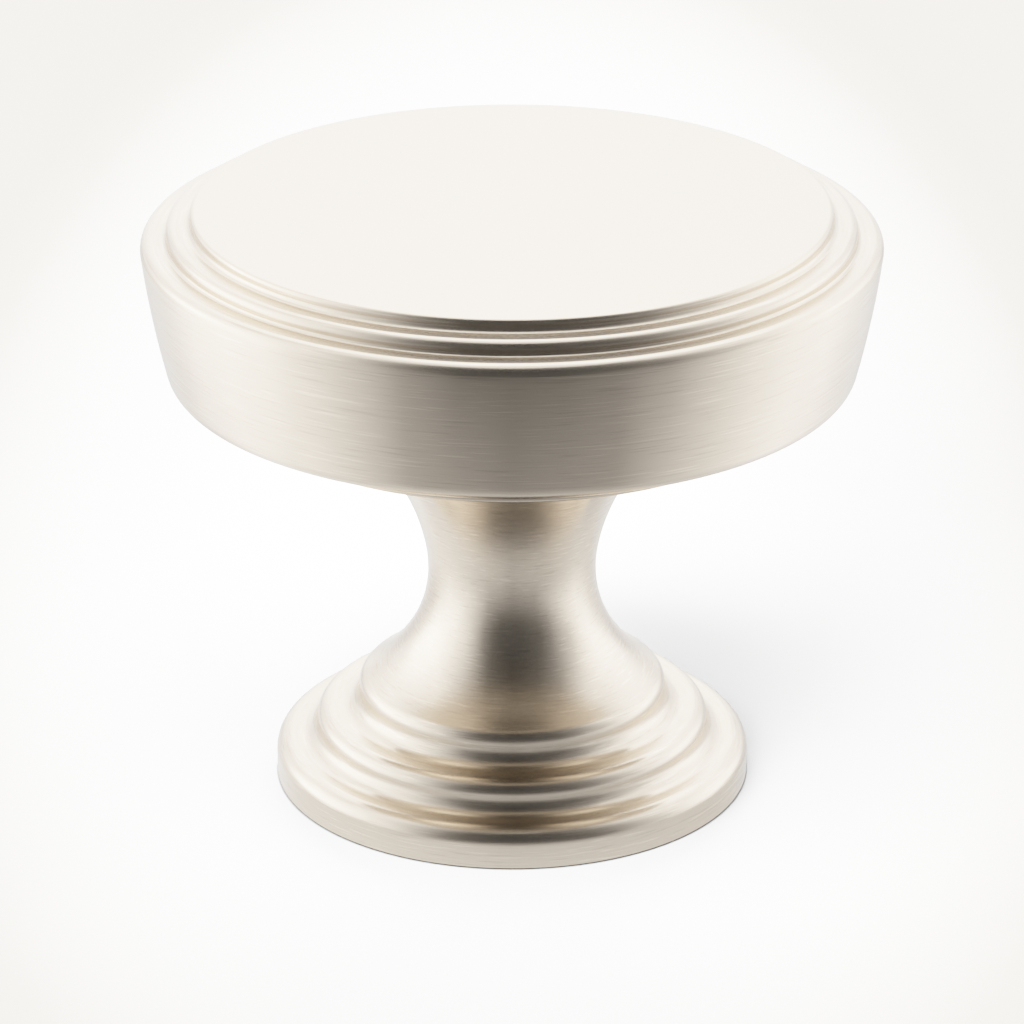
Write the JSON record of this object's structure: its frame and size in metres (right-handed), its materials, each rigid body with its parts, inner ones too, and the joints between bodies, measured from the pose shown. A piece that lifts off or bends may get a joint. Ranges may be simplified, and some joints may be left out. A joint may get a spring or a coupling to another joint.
{
  "type": "cabinet knob",
  "caption": "Round turned cabinet knob with a stepped flat head, waisted neck, two-tier base and a blind tapped hole underneath.",
  "frame": {"origin": "centre of the base's flat underside, which lies on the drawer front or door", "axes": "+Z along the knob's axis of revolution, from the base to the head"},
  "size_m": [0.038, 0.038, 0.0317],
  "materials": {
    "satin_nickel": "brushed satin nickel, brushed round the axis, with a plain satin top face"
  },
  "bodies": {
    "root": {"cabinet_knob": "satin_nickel"}
  },
  "joints": []
}
